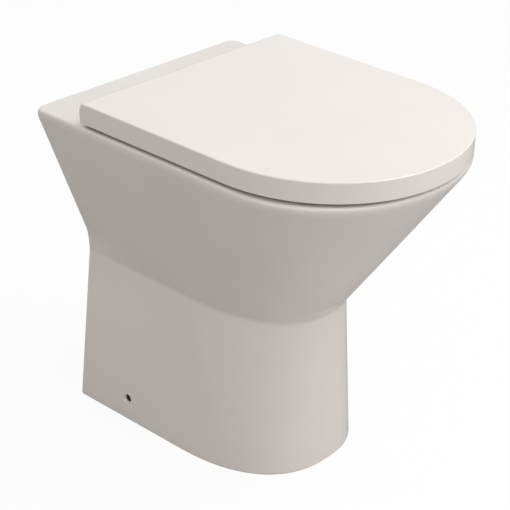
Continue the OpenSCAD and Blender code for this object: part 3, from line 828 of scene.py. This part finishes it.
block_outline = softened([(wall(119), 452.2, 0.5), (wall(86), 452.2, 0.5), (wall(86), 459.5, 0)])
block_outline += arc(9.4, -54, 90)
block_outline += softened([
    (wall(96.5), 475.9, 0), (wall(114), 470, 2), (wall(119), 465, 2), (wall(119), 453, 0)])
for side, name in SIDES:
    middle = side * FIXING_X
    pocket = (middle - POCKET_HALF, middle + POCKET_HALF)
    arms = ((pocket[0], middle - ARM_INSIDE), (middle + ARM_INSIDE, pocket[1]))
    block = shaped("block_" + name, add_prism, side * 57.5, side * 97.5, block_outline, 0.5)
    worked(
        block, "DIFFERENCE",
        shaped("damper_bore", add_rod, on_axis(side, 59), on_axis(side, 98.5), 7),
        shaped("shaft_bore", add_rod, on_axis(side, 56.5), on_axis(side, 60), 3.3),
        shaped("post_bore", add_rod, on_stud(side, 451), on_stud(side, 465), 6.06),
        shaped("pocket", add_block, pocket, (85, 101), POCKET_HEIGHT),
        *[shaped("arm_way", add_block, arm, (100, 114.5), POCKET_HEIGHT) for arm in arms])
    fitted(block, "hinge_carriage", "hinge_block_" + name, moulded_plastic)


# ---- Dampers ----
# Sealed rotary dampers of grey acetal that fill the barrels.
# The left one slows the lid and the right one the seat.
def acetal(here):
    cloud = here.noise(60, 3).spread(0.3, 0.7)
    return {
        "Base Color": cloud.colours((0.27, 0.285, 0.295), (0.33, 0.345, 0.355)),
        "Roughness": 0.3 + cloud * 0.12,
        "Normal": here.noise(700, 2).bump(0.00002),
    }


damper_plastic = material("damper_plastic", acetal, IOR=1.48)
cartridge_section = [
    (3.05, 0, 0.1), (6.95, 0, 0.4), (6.95, 38.4, 0.5), (5.6, 38.4, 0.1), (5.6, 37.9, 0.1),
    (4.4, 37.9, 0.1), (4.4, 38.4, 0.1), (3.05, 38.4, 0.1)]
for (side, _), moved in zip(SIDES, ("lid", "seat")):
    cartridge = shaped(
        moved + "_damper_cartridge", add_turned, cartridge_section,
        on_axis(side, 59.1), (side, 0, 0))
    fitted(cartridge, "hinge_carriage", moved + "_damper", damper_plastic)


# ---- Release buttons and their springs ----
# Pressed in from behind, each button's two arms let go of the post.
# Two shallow grooves give the finger a grip, and a coil of stainless wire brings the button back.
# The coil stays the frame's own, because it is squeezed as the button moves.
for side, name in SIDES:
    node = "release_button_" + name
    button = rounded_copy(node, "button_" + name, 0.35)
    across = (side * FIXING_X - 6.5, side * FIXING_X + 6.5)
    worked(button, "DIFFERENCE", *[
        shaped("groove", add_block, across, (83, 84.3), (z - 0.35, z + 0.35))
        for z in (455.1, 456.9)])
    fitted(button, node, node, moulded_plastic)
    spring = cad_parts["button_spring_" + name]
    spring.data.materials.clear()
    spring.data.materials.append(stainless_steel)


# ---- Seat ----
# A one-piece ring of hot-pressed thermoset, hard, glossy and heavy, with two hinge lugs moulded on.
# Its outer edge tucks inside the lid's skirt.
def urea(here):
    cloud = here.noise(6, 3).spread(0.3, 0.7)
    wiped = here.noise(24, 4, (1, 0.35, 1)).spread(0.4, 0.8)
    return {
        "Base Color": cloud.colours((0.852, 0.819, 0.783), (0.868, 0.837, 0.803)),
        "Roughness": 0.17 + wiped * 0.07,
        "Coat Weight": 0.2 + cloud * 0.1,
        "Normal": (here.noise(190, 1) * 0.3 + here.noise(14, 2) * 4.0).bump(0.00006),
    }


seat_thermoset = material("seat_thermoset", urea, IOR=1.54, Coat_Roughness=0.06)
SEAT_LOW, SEAT_TOP = 455, 474.5
COVER_STRAIGHT, COVER_POWER = 325, 2.05  # the outline that seat and lid share
LUG_RADIUS, SHAFT_BORE = 8.5, 3.05
SEAT_LUG = (47.2, 57.2)


def seat_ring(z, inset):
    return d_ring(z, 170.5 - inset, 121.5 + inset, COVER_STRAIGHT, 497.5 - inset, COVER_POWER, 12)


def opening_ring(z, grow):
    return egg_ring(z, 108 + grow, 186 - grow, 300, 424 + grow)


def seat_outside(bm):
    rings = [seat_ring(SEAT_LOW + gone, left) for gone, left in quarter(1, 3)]
    rings += [seat_ring(SEAT_TOP - left, gone) for gone, left in quarter(5, 9)]
    add_loft(bm, rings)


def seat_hole(bm):
    rings = [opening_ring(SEAT_LOW - 1, 2)]
    rings += [opening_ring(SEAT_LOW + gone, left) for gone, left in quarter(2, 3)]
    rings += [opening_ring(SEAT_TOP - left, gone) for gone, left in quarter(6, 9)]
    rings.append(opening_ring(SEAT_TOP + 1, 6))
    add_loft(bm, rings)


def lugged(cover, name, places, outline, soft, bore):
    """Adds a pair of hinge lugs to the seat or the lid, and bores them for the shafts."""
    worked(cover, "UNION", *[
        shaped(name, add_prism, side * places[0], side * places[1], outline, soft)
        for side, _ in SIDES])
    worked(cover, "DIFFERENCE", *[
        shaped("shaft_bore", add_rod, on_axis(side, bore[0]), on_axis(side, bore[1]), SHAFT_BORE)
        for side, _ in SIDES])


seat = shaped("seat_moulding", seat_outside)
worked(seat, "DIFFERENCE", shaped("seat_opening", seat_hole))
seat_lug = arc(LUG_RADIUS, -90, 90) + [
    (AXIS_Y - 4, AXIS_Z + 8.1), (wall(110), 472), (wall(127), 471), (wall(131), 460),
    (wall(120), 459)]
lugged(seat, "seat_lug", SEAT_LUG, seat_lug, 0.8, (40, 60))
fitted(seat, "seat", "seat", seat_thermoset)


# ---- Seat buffers and the seat's hinge shaft ----
# Four soft pads pressed into the seat's underside keep it off the china.
# The steel shaft turns with the seat inside its damper.
def soft_rubber(here):
    cloud = here.noise(80, 3).spread(0.3, 0.7)
    return {
        "Base Color": cloud.colours((0.52, 0.52, 0.50), (0.60, 0.60, 0.58)),
        "Roughness": 0.5 + cloud * 0.14,
        "Normal": here.noise(600, 2).bump(0.00004),
    }


buffer_rubber = material("buffer_rubber", soft_rubber, IOR=1.45, Subsurface_Weight=0.05)


def add_pads(bm, places, r, low, high):
    section = [(0, low, 0), (r - 1.5, low, 1), (r, low + 0.8, 0.6), (r, high, 0.2), (0, high, 0)]
    for x, distance in places:
        for side, _ in SIDES:
            add_turned(bm, section, (side * x, wall(distance), 0), UPWARDS, 40)


def add_shaft(bm, side):
    section = [(0, 0, 0), (3, 0, 0.5), (3, 60.6, 0.5), (0, 60.6, 0)]
    add_turned(bm, section, on_axis(side, SEAT_LUG[0]), (side, 0, 0), 48)


seat_pads = shaped("seat_pads", add_pads, ((155, 185), (138, 400)), 7, DECK, SEAT_LOW)
fitted(seat_pads, "seat", "seat_buffers", buffer_rubber)
seat_shaft = shaped("seat_shaft", add_shaft, 1)
fitted(seat_shaft, "seat", "seat_hinge_shaft", stainless_steel)


# ---- Lid ----
# A thick lid of the same thermoset with a flat top. Its skirt wraps over the seat, down to the rim.
# Its back is rounded about the hinge, and notched for the two hinge blocks.
LID_LOW, LID_UNDER, LID_TOP = 454, 477.4, 481
LID_FOOT, LID_EDGE = 1.6, 1.8  # how far the skirt's foot and the top's edge are rounded
SKIRT = 4.5  # how thick it is
NOTCH, LID_LUG = (45.3, 98.4), (97.8, 107.8)


def lid_ring(z, inset, back, corner=3.5):
    return d_ring(z, 178 - inset, back, COVER_STRAIGHT, 505 - inset, COVER_POWER, corner)


def lid_back(z, reach=9, rise=14.06):
    """How far from the wall the lid's back is, above the hinge axis."""
    return AXIS_BACK - reach * math.sqrt(max(1 - ((z - AXIS_Z) / rise) ** 2, 0))


def lid_outside(bm):
    rings = [lid_ring(LID_LOW + gone, left, 83) for gone, left in quarter(LID_FOOT, 4)]
    rings += [lid_ring(AXIS_Z + rise, 0, lid_back(AXIS_Z + rise)) for rise in (0, 2.5, 5, 7.3, 9.4)]
    for gone, left in quarter(LID_EDGE, 10):
        z = LID_TOP - left
        rings.append(lid_ring(z, gone, lid_back(z) + gone))
    add_loft(bm, rings)


def lid_inside(bm):
    back, corner = 86.2, 8
    rings = [lid_ring(LID_LOW - 1, 4, back, corner), lid_ring(LID_LOW + 1, SKIRT, back, corner)]
    levels = [(AXIS_Z + rise, SKIRT) for rise in (0, 2.1, 4, 5.8)]
    levels += [(LID_UNDER - 3 * left, SKIRT + 2.5 * gone) for gone, left in quarter(1, 6)]
    rings += [lid_ring(z, inset, lid_back(z, 6.4, 9.9), corner) for z, inset in levels]
    add_loft(bm, rings)


lid = shaped("lid_moulding", lid_outside)
notches = []
for side, _ in SIDES:
    across = sorted(side * x for x in NOTCH)
    notches.append(shaped("notch", add_block, across, (0, 86.5), (LID_LOW - 1, LID_TOP + 1)))
for side, _ in SIDES:
    ends = (on_axis(side, x) for x in NOTCH)
    notches.append(shaped("barrel_room", add_rod, *ends, 9.7))
worked(lid, "DIFFERENCE", shaped("lid_space", lid_inside), *notches)
lid_lug = arc(LUG_RADIUS, -90, -6) + [
    (AXIS_Y + LUG_RADIUS, AXIS_Z + 3), (AXIS_Y + 5, LID_UNDER + 1),
    (AXIS_Y - LUG_RADIUS, LID_UNDER + 1), (AXIS_Y - LUG_RADIUS, AXIS_Z)]
lid_lug += arc(LUG_RADIUS, 186, 264)
lugged(lid, "lid_lug", LID_LUG, lid_lug, 0.6, (95, 112))
fitted(lid, "lid", "lid", seat_thermoset)


# ---- Lid buffers and the lid's hinge shaft ----
# Four thin pads of the same soft rubber under the lid meet the seat.
# The lid's steel shaft turns inside the left damper.
lid_pads = shaped("lid_pads", add_pads, ((140, 215), (128, 405)), 6, SEAT_TOP, LID_UNDER)
fitted(lid_pads, "lid", "lid_buffers", buffer_rubber)
lid_shaft = shaped("lid_shaft", add_shaft, -1)
fitted(lid_shaft, "lid", "lid_hinge_shaft", stainless_steel)


# ---- Floor and light ----
# A plain pale floor with soft lamps, as in a studio: a large one above, a wide one in front and a
# small one at the right. The lid doesn't mirror the wide lamp, which would hide its top in white
# when it is seen from behind.
FLOOR_HALF, FLOOR_GAP = 12000, 0.3
AMBIENT = 0.68
LAMP_AIM = Vector((0, 0, 0.25))
floor_bm = bmesh.new()
bmesh.ops.create_grid(floor_bm, x_segments=2, y_segments=2, size=FLOOR_HALF)
bmesh.ops.translate(floor_bm, vec=(0, 0, -FLOOR_GAP), verts=floor_bm.verts)
floor = piece_of(floor_bm, "floor")
if floor.data.polygons[0].normal.z < 0:
    floor.data.flip_normals()
floor_paint = bpy.data.materials.new("pale_floor")
floor_paint.use_nodes = True
tree = floor_paint.node_tree
tree.nodes.clear()
seen = Wire(tree, tree.nodes.new("ShaderNodeLightPath").outputs["Is Camera Ray"])
floor_tone = seen.colours((0.45, 0.435, 0.425), (0.90, 0.90, 0.90))
matt = seen.node("BsdfDiffuse", {}, {"Color": floor_tone})
glow = seen.node("Emission", {}, {"Color": (1.0, 1.0, 1.0), "Strength": 1.0})
mixed = seen.node("MixShader", {}, {0: seen * 0.93, 1: matt, 2: glow})
tree.links.new(mixed.socket, tree.nodes.new("ShaderNodeOutputMaterial").inputs["Surface"])
floor.data.materials.append(floor_paint)

world = bpy.data.worlds.new("studio")
world.use_nodes = True
bpy.context.scene.world = world
tree = world.node_tree
rays = tree.nodes.new("ShaderNodeLightPath")
shown = Wire(tree, rays.outputs["Is Camera Ray"])
glossy = Wire(tree, rays.outputs["Is Glossy Ray"])
through = Wire(tree, rays.outputs["Is Transmission Ray"])
white = shown.math("MAXIMUM", shown, shown.math("MAXIMUM", glossy * 0.5, through))
strength = AMBIENT + white * (1 - AMBIENT)
sky = white.colours((1.0, 0.968, 0.948), (1.0, 1.0, 1.0))
tree.links.new(strength.socket, tree.nodes["Background"].inputs["Strength"])
tree.links.new(sky.socket, tree.nodes["Background"].inputs["Color"])


def lamp(name, place, wide, high, power, mirrored=True):
    """Soft rectangular lamp, in metres and watts, that faces the toilet's middle."""
    data = bpy.data.lights.new(name, "AREA")
    data.shape, data.size, data.size_y, data.energy = "RECTANGLE", wide, high, power
    light = bpy.data.objects.new(name, data)
    bpy.context.scene.collection.objects.link(light)
    light.visible_glossy = mirrored
    light.matrix_world = aimed(place, LAMP_AIM - Vector(place), "-Z")


lamp("key", (0.9, -0.85, 2.55), 1.4, 1.4, 20.5)
lamp("front", (0.0, -2.35, 1.15), 1.9, 0.8, 10.8, mirrored=False)
lamp("rim", (0.75, -1.75, 1.75), 0.45, 0.3, 2.2)
bpy.context.scene.view_settings.view_transform = "Standard"
